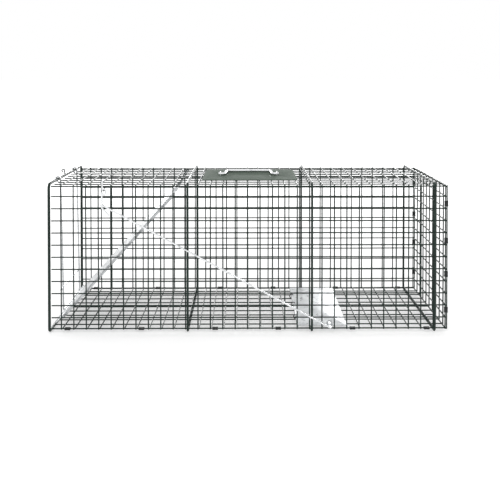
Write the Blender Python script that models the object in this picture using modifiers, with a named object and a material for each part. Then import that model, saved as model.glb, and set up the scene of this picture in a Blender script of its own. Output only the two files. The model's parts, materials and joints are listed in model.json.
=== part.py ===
"""Single-door live catch trap: wire-mesh cage, slanted drop door, lock bail, trigger linkage, carry handle.

Metres, +Z up. +X runs from the door end to the closed end, the trigger rod is on the -Y side, and the
origin is on the ground under the middle of the cage. Inch stations are measured from the door end
(along), from the -Y side (across) and from the floor mesh (up).
"""

import math

import bmesh
import bpy
from mathutils import Euler, Vector

INCH = 0.0254
GAP = 0.0003  # left between pieces that touch
THROUGH = 0.006  # depth of a cutter that passes right through a sheet

# Cage
CAGE_LENGTH = 32 * INCH
CAGE_WIDTH = 10 * INCH
CAGE_HEIGHT = 11.6 * INCH
MESH_WIRE = 0.0024
LATTICE_PITCH = 2  # inches
FIRST_ROW = 1.86  # inches from the floor to the first level wire of the side lattice
ROW_PITCH = 1.96
HOOP_ROD = 0.0050
FRONT_ROD = 0.0064
HOOP_STATIONS = {
    "front_hoop": 0.0,
    "middle_hoop_front": 11.1,
    "middle_hoop_rear": 21.1,
    "rear_hoop": 31.0,
}
HOOP_CORNER = 0.0045
FRONT_EDGE_INSET = 0.0105  # the mesh starts this far behind the front hoop, clear of the bail's eyes
EIGHT_SIDED = math.cos(math.pi / 8)  # apothem of an eight-sided rod over its radius
CATCH_WIRE = 0.0026
CATCH_CURL = 0.0030
CATCH_RISE = 0.0070

# Door and its hinge rod
SHEET = 0.0012
DOOR_HINGE = (10.15, 11.3)  # inches along, up
DOOR_FOOT = (0.42, 0.38)
DOOR_HALF_WIDTH = 0.1175
DOOR_FLANGE = 0.005
DOOR_LIP = 0.0038
FLANGE_START = 0.012  # the flanges begin this far below the hinge
FLANGE_STOP = 0.015  # and end this far above the foot
HINGE_ROD = 0.0040
ROD_STICKS_OUT = 0.0045  # past the wires of each side
CAP_RADIUS = 0.0045
CAP_DEPTH = 0.0014
PLAY = 0.0004  # clearance of a turning eye or knuckle round its rod
KNUCKLE = (0.070, 0.100)  # inner and outer end of each rolled knuckle, from the middle

# Lock bail
BAIL_WIRE = 0.0038
BAIL_FOOT = (0.42, 0.60)  # inches along, up: the bottom bar, just above the door's foot
BAIL_HALF_WIDTH = 2.6 * INCH
BAIL_CROSS_UP = 2.4
BAIL_CROSS_OUT = 0.004  # each end of the cross wire passes the legs by this
BAIL_CORNER = 0.010

# Trigger linkage
LINK_WIRE = 0.0030
LEVER_PIVOT = (4.4, 11.2)
LEVER_PIN = 0.0024
LEVER_COIL = (0.0070, 0.0034)  # outer and inner end of the lever's coil, outside the side mesh
LEVER_PIN_INSIDE = 0.005
LEVER_PIN_TAIL = 0.006
THUMB_REACH = 0.014
THUMB_RISE = 0.010
LINK_BEND = 0.004
LINK_CORNER = 0.003
LEVER_KNEE_UP = 9.8
LEVER_TOE = (4.86, 9.2)
ROD_FRONT_UP = 10.02
ROD_REAR = 22.6
PAN_STATION = 20.0
PAN_LENGTH = 4.0 * INCH
PAN_HALF_WIDTH = 0.117
PAN_SHEET = 0.0010
PAN_RINGS = (2.6, 5.5, 7.6)  # inches across
PAN_LIFT = 0.0005  # gap between the pan and the wires under it
PAN_SLOT = (0.0036, 0.0030)
PAN_FRONT = -0.0010  # the front edge lies just ahead of the hinge wire
PAN_LOOP_INSET = 0.0035  # from the pan's near edge
ROD_HOOK_INSET = 0.0080  # the rod's turned-in end reaches this far past that edge
PAN_LOOP_HALF_WIDTH = 0.005
PAN_LOOP_RISE = 0.0058
PAN_LOOP_WIRE = 0.0022

# Carry handle
PLATE_ENDS = (12.1, 20.1)
PLATE_HALF_WIDTH = 3 * INCH
PLATE_CORNER = 0.010
PLATE_SHEET = 0.0010
HANDLE_WIRE = 0.0060
HANDLE_LEGS = (13.95, 18.1)
HANDLE_REACH = 1.9 * INCH
HANDLE_PIN_Y = -0.012
HANDLE_FOOT = 0.014
HANDLE_TAPER = 0.003  # each leg leans in by this much
HANDLE_CORNER = 0.007
STAPLE_WIRE = 0.0026
STAPLE_TAIL = 0.006  # the staples' feet reach this far below the top wires
STAPLE_HOLE = 0.0036

# Clips of crimped sheet, and the pan's hog rings
CLIP_LENGTH = 0.011
CLIP_SHEET = 0.0008
CLIP_INNER = (0.0030, 0.00155)  # half sizes of the space for two wires side by side
TOP_CLIP_LENGTH = 0.005
FLOOR_CLIPS = (1.4, 7.35, 13.3, 18.4, 24.4, 30.4)  # inches along, on both bottom edges
REAR_CLIPS = (1.5, 4.4, 7.1, 10.1)  # inches up, on both rear corners
TOP_CLIP = (4.0, 5.0)  # inches along, across
RING_WIRE = 0.0020
RING_RADIUS = 0.0044

FLOOR_Z = HOOP_ROD * EIGHT_SIDED + GAP + MESH_WIRE / 2
TOP_Z = FLOOR_Z + CAGE_HEIGHT
OUTER_HALF_WIDTH = CAGE_WIDTH / 2 + MESH_WIRE / 2 + GAP + HOOP_ROD
OUTER_TOP = TOP_Z + MESH_WIRE / 2 + GAP + HOOP_ROD
SIDE_Y = CAGE_WIDTH / 2
INNER_EDGE_Y = SIDE_Y - MESH_WIRE - GAP  # edge wire of the floor and top, inside the side wire
REAR_X = CAGE_LENGTH / 2
SIDE_REAR_X = REAR_X - MESH_WIRE - GAP


def along(inches):
    return inches * INCH - CAGE_LENGTH / 2


def across(inches):
    return inches * INCH - CAGE_WIDTH / 2


def up(inches):
    return FLOOR_Z + inches * INCH


def clear_scene():
    for thing in list(bpy.data.objects):
        bpy.data.objects.remove(thing)


def new_collection(name):
    collection = bpy.data.collections.new(name)
    bpy.context.scene.collection.children.link(collection)
    return collection


def coat(name, colour, roughness, metallic):
    material = bpy.data.materials.new(name)
    material.use_nodes = True
    shader = material.node_tree.nodes["Principled BSDF"]
    shader.inputs["Base Color"].default_value = (*colour, 1.0)
    shader.inputs["Roughness"].default_value = roughness
    shader.inputs["Metallic"].default_value = metallic
    return material


def add(name, data, material, pivot=None, location=(0, 0, 0)):
    """Links a named object with its material, standing at its pivot when it has one."""
    thing = bpy.data.objects.new(name, data)
    if not data.materials:
        data.materials.append(material)
    TRAP.objects.link(thing)
    if pivot:
        thing.parent = pivot
    else:
        thing.location = location
    return thing


def pivot_at(name, x, y, z):
    empty = bpy.data.objects.new(name, None)
    empty.location = (x, y, z)
    TRAP.objects.link(empty)
    return empty


def rounded(corners, radius, closed=False, steps=4):
    """Straight runs between the corners, with every turn made an arc of the given radius."""
    corners = [Vector(corner) for corner in corners]
    count = len(corners)
    path = [] if closed else [corners[0]]
    for i in range(0 if closed else 1, count if closed else count - 1):
        here, before, after = corners[i], corners[i - 1], corners[(i + 1) % count]
        back, ahead = (before - here).normalized(), (after - here).normalized()
        half = back.angle(ahead) / 2
        centre = here + (back + ahead).normalized() * radius / math.sin(half)
        start = here + back * radius / math.tan(half) - centre
        end = here + ahead * radius / math.tan(half) - centre
        for step in range(steps + 1):
            turn = start.normalized().slerp(end.normalized(), step / steps)
            path.append(centre + turn * radius)
    return path if closed else path + [corners[-1]]


def arc(centre, radius, start, end, steps, first=Vector((1, 0, 0)), second=Vector((0, 0, 1))):
    """Points on an arc, from start to end degrees measured from the first axis towards the second."""
    angles = [math.radians(start + (end - start) * i / steps) for i in range(steps + 1)]
    return [Vector(centre) + radius * (math.cos(a) * first + math.sin(a) * second) for a in angles]


def wire(name, points, diameter, material, pivot=None, closed=False, tilt=0.0):
    """An eight-sided rod along a path of points given in world space."""
    curve = bpy.data.curves.new(name, "CURVE")
    curve.dimensions = "3D"
    curve.twist_mode = "MINIMUM"
    curve.bevel_depth = diameter / 2
    curve.bevel_resolution = 2
    curve.use_fill_caps = not closed
    spline = curve.splines.new("POLY")
    spline.points.add(len(points) - 1)
    origin = pivot.location if pivot else Vector((0, 0, 0))
    for slot, point in zip(spline.points, points):
        slot.co = (*(Vector(point) - origin), 1.0)
        slot.tilt = tilt
    spline.use_cyclic_u = closed
    return add(name, curve, material, pivot)


def pin(name, x, z, start_y, end_y, radius, material, sides=12):
    """A straight round bar along Y."""
    shape = bmesh.new()
    bmesh.ops.create_cone(
        shape, cap_ends=True, segments=sides, radius1=radius, radius2=radius, depth=end_y - start_y
    )
    mesh = bpy.data.meshes.new(name)
    shape.to_mesh(mesh)
    shape.free()
    bar = add(name, mesh, material, location=(x, (start_y + end_y) / 2, z))
    bar.rotation_euler = (math.pi / 2, 0, 0)
    return bar


def flat_shape(name, loops, thickness):
    """A flat piece with the given closed outlines; a loop inside another is a hole."""
    curve = bpy.data.curves.new(name, "CURVE")
    curve.dimensions = "2D"
    curve.fill_mode = "BOTH"
    curve.extrude = thickness / 2
    for loop in loops:
        spline = curve.splines.new("POLY")
        spline.points.add(len(loop) - 1)
        for slot, point in zip(spline.points, loop):
            slot.co = (point[0], point[1], 0.0, 1.0)
        spline.use_cyclic_u = True
    flat = bpy.data.objects.new(name, curve)
    TRAP.objects.link(flat)
    bpy.context.view_layer.update()
    mesh = bpy.data.meshes.new_from_object(flat.evaluated_get(bpy.context.evaluated_depsgraph_get()))
    bpy.data.objects.remove(flat)
    shape = bmesh.new()
    shape.from_mesh(mesh)
    bmesh.ops.remove_doubles(shape, verts=shape.verts, dist=0.00005)
    shape.to_mesh(mesh)
    shape.free()
    return mesh


def oblong(half_x, half_y, corner, steps=3):
    """A rectangle round the origin with rounded corners."""
    corners = [(-half_x, -half_y, 0), (half_x, -half_y, 0), (half_x, half_y, 0), (-half_x, half_y, 0)]
    return rounded(corners, corner, closed=True, steps=steps)


def clip_mesh(name, inner, length):
    """A band of sheet round a space for wires that run along its Z axis."""
    outer = [half + CLIP_SHEET for half in inner]
    loops = [oblong(*outer, CLIP_SHEET * 1.4, steps=2), oblong(*inner, CLIP_SHEET * 0.4, steps=1)]
    return flat_shape(name, loops, length)


def clip(name, mesh, centre, turn, material):
    """A sheet-metal clip crimped round the wires that it ties together."""
    add(name, mesh, material, location=centre).rotation_euler = Euler(turn)


def ring(name, centre, normal, material, pivot=None):
    """A closed hog ring round the wires that it ties together."""
    bpy.ops.mesh.primitive_torus_add(
        major_radius=RING_RADIUS, minor_radius=RING_WIRE / 2, major_segments=10, minor_segments=5
    )
    made = bpy.context.object
    mesh = made.data
    bpy.data.objects.remove(made)
    tie = add(name, mesh, material, pivot)
    tie.rotation_euler = Vector((0, 0, 1)).rotation_difference(Vector(normal)).to_euler()
    tie.location = Vector(centre) - (pivot.location if pivot else Vector((0, 0, 0)))
    return tie


def spaced_grid(name, columns, rows):
    """A flat grid in XY whose lines stand at the given columns and rows."""
    shape = bmesh.new()
    bmesh.ops.create_grid(shape, x_segments=len(columns) - 1, y_segments=len(rows) - 1, size=0.5)
    for vert in shape.verts:
        column = round((vert.co.x + 0.5) * (len(columns) - 1))
        row = round((vert.co.y + 0.5) * (len(rows) - 1))
        vert.co = (columns[column], rows[row], 0.0)
    mesh = bpy.data.meshes.new(name)
    shape.to_mesh(mesh)
    shape.free()
    return mesh


def lattice(name, columns, rows, location, rotation, material):
    """A flat panel of crossing wires on every second line of the welded mesh."""
    panel = add(name, spaced_grid(name, columns, rows), material, location=location)
    panel.rotation_euler = Euler(rotation)
    wires = panel.modifiers.new("wires", "WIREFRAME")
    wires.thickness = MESH_WIRE
    wires.offset = 0.0
    wires.use_boundary = True
    wires.use_replace = True
    wires.use_even_offset = True
    return panel


def make_panels(green):
    """The five faces of the cage, each a flat lattice."""
    lengthwise = [along(LATTICE_PITCH * i) for i in range(17)]
    lengthwise[0] = along(0) + FRONT_EDGE_INSET
    lengthwise[-1] = SIDE_REAR_X
    widthwise = [across(LATTICE_PITCH * i) for i in range(6)]
    inner_widthwise = [-INNER_EDGE_Y] + widthwise[1:-1] + [INNER_EDGE_Y]
    levels = [0] + [(FIRST_ROW + ROW_PITCH * i) * INCH for i in range(5)] + [CAGE_HEIGHT]
    upright = (math.pi / 2, 0, 0)
    lattice("near_side_mesh", lengthwise, levels, (0, -SIDE_Y, FLOOR_Z), upright, green)
    lattice("far_side_mesh", lengthwise, levels, (0, SIDE_Y, FLOOR_Z), upright, green)
    lattice("floor_mesh", lengthwise, inner_widthwise, (0, 0, FLOOR_Z), (0, 0, 0), green)
    lattice("top_mesh", lengthwise, inner_widthwise, (0, 0, TOP_Z), (0, 0, 0), green)
    lattice("rear_mesh", widthwise, levels, (REAR_X, 0, FLOOR_Z), (math.pi / 2, 0, math.pi / 2), green)


def make_hoops(green):
    """Rod hoops round the outside of the mesh; their bottom bars are what the trap stands on."""
    for name, station in HOOP_STATIONS.items():
        rod = FRONT_ROD if station == 0 else HOOP_ROD
        side = OUTER_HALF_WIDTH - rod / 2
        low, high = rod / 2 * EIGHT_SIDED, OUTER_TOP - rod / 2
        turns = ((side, low), (side, high), (-side, high), (-side, low))
        corners = [(along(station), y, z) for y, z in turns]
        wire(name, rounded(corners, HOOP_CORNER, closed=True), rod, green, closed=True, tilt=math.pi / 8)


def make_front_catch(green):
    """A wire stem on the front hoop's top bar, curled over at its end."""
    stem = Vector((along(0), across(4.4), OUTER_TOP + GAP))
    curl = stem + Vector((-CATCH_CURL, 0, CATCH_RISE))
    wire("front_catch_hook", [stem] + arc(curl, CATCH_CURL, 0, 250, 8), CATCH_WIRE, green)


def make_door(zinc):
    """A folded sheet: panel, two side flanges, a forward lip, and two knuckles rolled round the hinge rod."""
    hinge = Vector((along(DOOR_HINGE[0]), 0, up(DOOR_HINGE[1])))
    foot = Vector((along(DOOR_FOOT[0]), 0, up(DOOR_FOOT[1])))
    rod_end = SIDE_Y + ROD_STICKS_OUT
    pin("door_hinge_rod", hinge.x, hinge.z, -rod_end, rod_end, HINGE_ROD / 2, zinc)
    for side, name in ((-1, "hinge_rod_cap_near"), (1, "hinge_rod_cap_far")):
        ends = sorted((side * (rod_end + GAP), side * (rod_end + GAP + CAP_DEPTH)))
        pin(name, hinge.x, hinge.z, *ends, CAP_RADIUS, zinc)
    door = pivot_at("door_pivot", *hinge)
    roll = HINGE_ROD / 2 + PLAY + SHEET / 2
    reach = (foot - hinge).length
    slope = math.asin(roll / reach)
    straight = (foot - hinge).normalized()
    square = Vector((-straight.z, 0, straight.x))
    # The sheet is tangent to the rolled knuckles, so it leaves the hinge-to-foot line by a small angle.
    down = straight * math.cos(slope) - square * math.sin(slope)
    inward = square * math.cos(slope) + straight * math.sin(slope)
    stations = [0.0, FLANGE_START, reach - FLANGE_STOP, reach]
    rows = [-DOOR_HALF_WIDTH, -KNUCKLE[1], -KNUCKLE[0], KNUCKLE[0], KNUCKLE[1], DOOR_HALF_WIDTH]
    sheet = bmesh.new()
    sheet.from_mesh(spaced_grid("door_sheet", stations, rows))
    for vert in sheet.verts:
        vert.co = down * vert.co.x + inward * roll + Vector((0, vert.co.y, 0))

    def distance(vert):
        return vert.co.dot(down)

    def fold(edges, path):
        """Carries the edges along the path, one strip of sheet at a time."""
        for step in path:
            grown = bmesh.ops.extrude_edge_only(sheet, edges=edges)["geom"]
            edges = [part for part in grown if isinstance(part, bmesh.types.BMEdge)]
            for vert in {vert for edge in edges for vert in edge.verts}:
                vert.co = step(vert.co)

    def edges_where(test):
        return [edge for edge in sheet.edges if all(test(vert) for vert in edge.verts)]

    def on_flange(vert):
        between = FLANGE_START - GAP < distance(vert) < reach - FLANGE_STOP + GAP
        return between and abs(vert.co.y) > DOOR_HALF_WIDTH - GAP

    def on_knuckle(vert):
        return distance(vert) < GAP and KNUCKLE[0] - GAP < abs(vert.co.y) < KNUCKLE[1] + GAP

    flange_edges = edges_where(on_flange)
    lip_edges = edges_where(lambda vert: distance(vert) > reach - GAP)
    knuckle_edges = edges_where(on_knuckle)
    knuckle_edges = [edge for edge in knuckle_edges if edge.verts[0].co.y * edge.verts[1].co.y > 0]
    fold(flange_edges, [lambda at: at + inward * DOOR_FLANGE])
    fold(lip_edges, [lambda at: at + Vector((-DOOR_LIP, 0, 0))])

    def rolled(angle):
        spoke = (inward * math.cos(angle) - down * math.sin(angle)) * roll
        return lambda at: spoke + Vector((0, at.y, 0))

    fold(knuckle_edges, [rolled(math.radians(30 * i)) for i in range(1, 10)])
    bmesh.ops.recalc_face_normals(sheet, faces=sheet.faces)
    mesh = bpy.data.meshes.new("door_panel")
    sheet.to_mesh(mesh)
    sheet.free()
    panel = add("door_panel", mesh, zinc, door)
    gauge = panel.modifiers.new("gauge", "SOLIDIFY")
    gauge.thickness = SHEET
    gauge.offset = 0.0
    gauge.use_even_offset = True


def make_bail(zinc):
    """A wire U that hangs from the front hoop's top bar and props the closed door."""
    bar_z = OUTER_TOP - FRONT_ROD / 2
    bail = pivot_at("bail_pivot", along(0), 0, bar_z)
    eye = FRONT_ROD / 2 + PLAY + BAIL_WIRE / 2
    foot_x, foot_z = along(BAIL_FOOT[0]), up(BAIL_FOOT[1])
    near_eye = arc((along(0), -BAIL_HALF_WIDTH, bar_z), eye, 280, 0, 9)
    far_eye = [Vector((at.x, -at.y, at.z)) for at in reversed(near_eye)]
    near_foot = (foot_x, -BAIL_HALF_WIDTH, foot_z)
    far_foot = (foot_x, BAIL_HALF_WIDTH, foot_z)
    loop = rounded([near_eye[-1], near_foot, far_foot, far_eye[0]], BAIL_CORNER)
    wire("lock_bail", near_eye[:-1] + loop + far_eye[1:], BAIL_WIRE, zinc, bail)
    share = (up(BAIL_CROSS_UP) - foot_z) / (bar_z - foot_z)
    cross_x = foot_x + share * (near_eye[-1].x - foot_x) - BAIL_WIRE - GAP
    cross_end = BAIL_HALF_WIDTH + BAIL_CROSS_OUT
    ends = [(cross_x, side * cross_end, up(BAIL_CROSS_UP)) for side in (-1, 1)]
    wire("lock_bail_cross_wire", ends, BAIL_WIRE * 0.9, zinc, bail)


def make_linkage(zinc, green):
    """The hook lever at the top of the near side, and the rod that ties it to the trigger pan."""
    x, z = along(LEVER_PIVOT[0]), up(LEVER_PIVOT[1])
    eye = LEVER_PIN / 2 + PLAY + LINK_WIRE / 2
    outer_y, inner_y = -SIDE_Y - LEVER_COIL[0], -SIDE_Y - LEVER_COIL[1]
    pin_end = outer_y - LINK_WIRE / 2 - PLAY
    tail_y = -SIDE_Y + LEVER_PIN_INSIDE
    pin_path = [(x, pin_end, z), (x, tail_y, z), (x, tail_y, z + LEVER_PIN_TAIL)]
    wire("lever_pivot_wire", rounded(pin_path, LEVER_PIN * 0.75), LEVER_PIN, green)

    lever = pivot_at("lever_pivot", x, outer_y, z)
    shank_x = x - eye
    steps = 12
    turn = arc((x, 0, z), eye, 180, 540, steps)
    for i, point in enumerate(turn):
        point.y = inner_y + (outer_y - inner_y) * i / steps
    thumb_z = TOP_Z + THUMB_RISE
    thumb_tip = (shank_x, inner_y + THUMB_REACH, thumb_z)
    thumb = rounded([thumb_tip, (shank_x, inner_y, thumb_z), turn[0]], LINK_BEND)
    knee = Vector((shank_x, outer_y, up(LEVER_KNEE_UP)))
    toe = Vector((along(LEVER_TOE[0]), outer_y, up(LEVER_TOE[1])))
    shank = rounded([turn[-1], knee, toe], LINK_BEND)
    wire("hook_lever", thumb[:-1] + turn + shank[1:], LINK_WIRE, zinc, lever)

    loop = LINK_WIRE + 0.0005
    front = Vector((shank_x, outer_y, up(ROD_FRONT_UP)))
    rod = pivot_at("rod_pivot", *front)
    collar = arc(front, loop, 150, -90, 10, second=Vector((0, 1, 0)))
    rod_y = outer_y - loop
    rear_z = FLOOR_Z + MESH_WIRE / 2 + PAN_LIFT + PAN_SHEET + PLAY + LINK_WIRE / 2
    rear = Vector((along(ROD_REAR), rod_y, rear_z))
    elbow = Vector((front.x + LINK_BEND, rod_y, front.z))
    hook = (rear.x, -PAN_HALF_WIDTH + ROD_HOOK_INSET, rear_z)
    path = collar[:-1] + rounded([collar[-1], elbow, rear, hook], LINK_CORNER)
    wire("trigger_rod", path, LINK_WIRE, zinc, rod)
    return rear


def make_pan(zinc, black, rod_end):
    """A tread plate tied to one floor wire by rings, so that its rear edge lifts."""
    pan = pivot_at("pan_pivot", along(PAN_STATION), 0, FLOOR_Z)
    bottom = MESH_WIRE / 2 + PAN_LIFT
    front = PAN_FRONT
    middle = (front + PAN_LENGTH) / 2
    shape = bmesh.new()
    bmesh.ops.create_cube(shape, size=1.0)
    bmesh.ops.scale(shape, vec=(PAN_LENGTH - front, 2 * PAN_HALF_WIDTH, PAN_SHEET), verts=shape.verts)
    bmesh.ops.translate(shape, vec=(middle, 0, bottom + PAN_SHEET / 2), verts=shape.verts)
    mesh = bpy.data.meshes.new("trigger_pan")
    shape.to_mesh(mesh)
    shape.free()
    plate = add("trigger_pan", mesh, zinc, pan)
    for i, station in enumerate(PAN_RINGS, 1):
        y = across(station)
        ring(f"pan_ring_{i}", (along(PAN_STATION), y, FLOOR_Z), (0, 1, 0), black, pan)
        slot_x = math.sqrt(RING_RADIUS**2 - (bottom + PAN_SHEET / 2) ** 2)
        slot = cutter(f"pan_ring_slot_{i}", (*PAN_SLOT, THROUGH), (slot_x, y, bottom + PAN_SHEET / 2), pan)
        cut(plate, slot)
    loop_y = -PAN_HALF_WIDTH + PAN_LOOP_INSET
    low, high = FLOOR_Z + bottom + PAN_SHEET + PLAY, rod_end.z + PAN_LOOP_RISE
    half = PAN_LOOP_HALF_WIDTH
    turns = ((-half, low), (-half, high), (half, high), (half, low))
    staple = [(rod_end.x + dx, loop_y, z) for dx, z in turns]
    wire("pan_link_loop", rounded(staple, LINK_CORNER), PAN_LOOP_WIRE, zinc, pan)


def cutter(name, size, location, pivot=None):
    """A box that only cuts."""
    shape = bmesh.new()
    bmesh.ops.create_cube(shape, size=1.0)
    bmesh.ops.scale(shape, vec=size, verts=shape.verts)
    mesh = bpy.data.meshes.new(name)
    shape.to_mesh(mesh)
    shape.free()
    box = bpy.data.objects.new(name, mesh)
    box.location = location
    box.parent = pivot
    box.hide_render = True
    box.display_type = "WIRE"
    CUTTERS.objects.link(box)
    return box


def cut(target, tool):
    boolean = target.modifiers.new(tool.name, "BOOLEAN")
    boolean.object = tool
    boolean.operation = "DIFFERENCE"
    boolean.solver = "EXACT"


def make_handle(green_plate, bright):
    """The guard plate on the top mesh, and a wire handle that folds down on it."""
    plate_z = TOP_Z + MESH_WIRE / 2 + GAP
    start, end = along(PLATE_ENDS[0]), along(PLATE_ENDS[1])
    outline = oblong((end - start) / 2, PLATE_HALF_WIDTH, PLATE_CORNER)
    mesh = flat_shape("handle_guard_plate", [outline], PLATE_SHEET)
    centre = ((start + end) / 2, 0, plate_z + PLATE_SHEET / 2)
    plate = add("handle_guard_plate", mesh, green_plate, location=centre)

    pin_z = plate_z + PLATE_SHEET + GAP + HANDLE_WIRE / 2
    left, right = along(HANDLE_LEGS[0]), along(HANDLE_LEGS[1])
    swing = pivot_at("handle_pivot", (left + right) / 2, HANDLE_PIN_Y, pin_z)
    bar = HANDLE_PIN_Y + HANDLE_REACH
    corners = [
        (left - HANDLE_FOOT, HANDLE_PIN_Y, pin_z),
        (left, HANDLE_PIN_Y, pin_z),
        (left + HANDLE_TAPER, bar, pin_z),
        (right - HANDLE_TAPER, bar, pin_z),
        (right, HANDLE_PIN_Y, pin_z),
        (right + HANDLE_FOOT, HANDLE_PIN_Y, pin_z),
    ]
    wire("carry_handle", rounded(corners, HANDLE_CORNER), HANDLE_WIRE, bright, swing)
    reach = HANDLE_WIRE / 2 + 2 * GAP + STAPLE_WIRE / 2
    staple_out = HANDLE_FOOT * 0.7
    for name, x in (("handle_staple_left", left - staple_out), ("handle_staple_right", right + staple_out)):
        low, high = TOP_Z - STAPLE_TAIL, pin_z + reach
        turns = ((-reach, low), (-reach, high), (reach, high), (reach, low))
        legs = [(x, HANDLE_PIN_Y + dy, z) for dy, z in turns]
        wire(name, rounded(legs, reach * 0.9), STAPLE_WIRE, bright)
        for dy, side in ((-reach, "near"), (reach, "far")):
            at = (x, HANDLE_PIN_Y + dy, plate_z + PLATE_SHEET / 2)
            cut(plate, cutter(f"{name}_hole_{side}", (STAPLE_HOLE, STAPLE_HOLE, THROUGH), at))


def make_clips(black):
    """Crimped clips that tie the floor and the rear panel to the sides, and a small one on a top wire."""
    edge_y = (SIDE_Y + INNER_EDGE_Y) / 2
    corner_x = (REAR_X + SIDE_REAR_X) / 2
    pair = clip_mesh("wire_pair_clip", CLIP_INNER, CLIP_LENGTH)
    single = clip_mesh("single_wire_clip", (CLIP_INNER[1], CLIP_INNER[1]), TOP_CLIP_LENGTH)
    lengthwise = (math.pi / 2, 0, math.pi / 2)
    for side, name in ((-1, "near"), (1, "far")):
        for i, station in enumerate(FLOOR_CLIPS, 1):
            clip(f"floor_clip_{name}_{i}", pair, (along(station), side * edge_y, FLOOR_Z), lengthwise, black)
        for i, level in enumerate(REAR_CLIPS, 1):
            clip(f"rear_clip_{name}_{i}", pair, (corner_x, side * SIDE_Y, up(level)), (0, 0, 0), black)
    top = (along(TOP_CLIP[0]), across(TOP_CLIP[1]), TOP_Z)
    clip("top_clip", single, top, (math.pi / 2, 0, 0), black)


clear_scene()
TRAP = new_collection("live_catch_trap")
CUTTERS = new_collection("cutters")
green_coat = coat("green_coat", (0.024, 0.045, 0.038), 0.45, 0.0)
plate_coat = coat("plate_coat", (0.14, 0.18, 0.145), 0.5, 0.0)
zinc_coat = coat("zinc", (0.62, 0.64, 0.65), 0.4, 0.9)
ring_coat = coat("ring_black", (0.02, 0.022, 0.022), 0.5, 0.3)

make_panels(green_coat)
make_hoops(green_coat)
make_front_catch(green_coat)
make_door(zinc_coat)
make_bail(zinc_coat)
make_pan(zinc_coat, ring_coat, make_linkage(zinc_coat, green_coat))
make_handle(plate_coat, zinc_coat)
make_clips(ring_coat)
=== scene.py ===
"""Looks of a live catch trap: every wire, sheet, ring and rod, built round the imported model.

Metres, +Z up. +X runs from the door end to the closed end, and the trigger rod is on the -Y side.
"""

import json
import math

import bmesh
import bpy
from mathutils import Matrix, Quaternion, Vector, noise


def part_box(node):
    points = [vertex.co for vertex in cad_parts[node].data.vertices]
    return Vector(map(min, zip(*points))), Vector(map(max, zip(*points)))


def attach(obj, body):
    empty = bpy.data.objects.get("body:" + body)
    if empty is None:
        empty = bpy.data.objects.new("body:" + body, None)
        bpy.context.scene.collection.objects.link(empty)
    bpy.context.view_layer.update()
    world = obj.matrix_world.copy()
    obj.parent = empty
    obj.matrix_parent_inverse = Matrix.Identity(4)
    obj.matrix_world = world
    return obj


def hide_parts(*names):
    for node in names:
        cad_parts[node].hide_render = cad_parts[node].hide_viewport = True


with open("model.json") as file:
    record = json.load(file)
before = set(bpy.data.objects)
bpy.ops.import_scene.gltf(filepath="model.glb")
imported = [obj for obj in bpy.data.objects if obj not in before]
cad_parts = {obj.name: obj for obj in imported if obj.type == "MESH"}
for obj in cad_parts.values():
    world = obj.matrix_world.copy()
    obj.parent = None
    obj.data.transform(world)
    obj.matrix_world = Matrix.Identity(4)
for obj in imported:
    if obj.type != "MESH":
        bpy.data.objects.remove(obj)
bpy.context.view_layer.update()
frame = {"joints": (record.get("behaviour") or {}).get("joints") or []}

INCH = 0.0254
AXIS_X, AXIS_Y, AXIS_Z = Vector((1, 0, 0)), Vector((0, 1, 0)), Vector((0, 0, 1))


def low(node):
    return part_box(node)[0]


def high(node):
    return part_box(node)[1]


def middle(node):
    return (low(node) + high(node)) / 2


def joint_point(name):
    return next(Vector(joint["pos_m"]) for joint in frame["joints"] if joint["name"] == name)


HOOP_BENDS = [0.0055, 0.009, 0.009, 0.0055]  # the lower bends are tighter
HOOP_WELD_Y = 0.031
BAIL_RADIUS = 0.0019
LINK_RADIUS = 0.0017  # trigger rod and hook lever
LINK_BEND = 0.004
LEVER_PIN_RADIUS = 0.0012
CATCH_RADIUS = 0.0013
STAPLE_RADIUS = 0.0013
STAPLE_HOLE = 0.0036
PAN_LOOP_RADIUS = 0.0011
RING_SLOT = (0.0036, 0.0030)
RING_SLOT_OFFSET = 0.0037  # behind the pan's axis
DOOR_GAUGE = 0.0012
DOOR_LIP = 0.0038
DOOR_FLANGE = 0.005
CLIP_GAUGE = 0.0008
PLAY = 0.0004  # clearance of a turning eye or knuckle round its rod

# Welded mesh
WIRE = 0.00135  # radius
WELD_SINK = 0.0004  # how far two crossing wires melt into each other
LAYER = 2 * WIRE - WELD_SINK
CELL = INCH
FLOOR_Z = middle("floor_mesh").z
SIDE_Y = middle("far_side_mesh").y
REAR_X = middle("rear_mesh").x
FRONT_X = middle("front_hoop").x
FIRST_COLUMN = 0.92 * CELL  # from the front hoop to the first upright
FIRST_ROW = 0.88 * CELL  # from the floor to the first level wire
ROW_PITCH = 0.98 * CELL
ROWS = 11
SHEET_BEND = 0.0038  # radius to which the sheet is bent over each top edge
ROD = high("rear_hoop").x - low("rear_hoop").x  # diameter of the three rear hoops
CROSS_Y = high("rear_hoop").y - ROD - WIRE  # the bent cross wires lie against the hoops
SIDE_LEVEL_Y = CROSS_Y - LAYER  # and the level wires inside them
TOP_CROSS_Z = low("handle_guard_plate").z - WIRE
TOP_LEVEL_Z = TOP_CROSS_Z - LAYER
WAVER = 0.0003  # how far a long thin wire strays from straight
WAVER_LENGTH = 0.16
STEP = 0.05  # longest straight step along a wire


# ---------------------------------------------------------------- shapes


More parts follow.
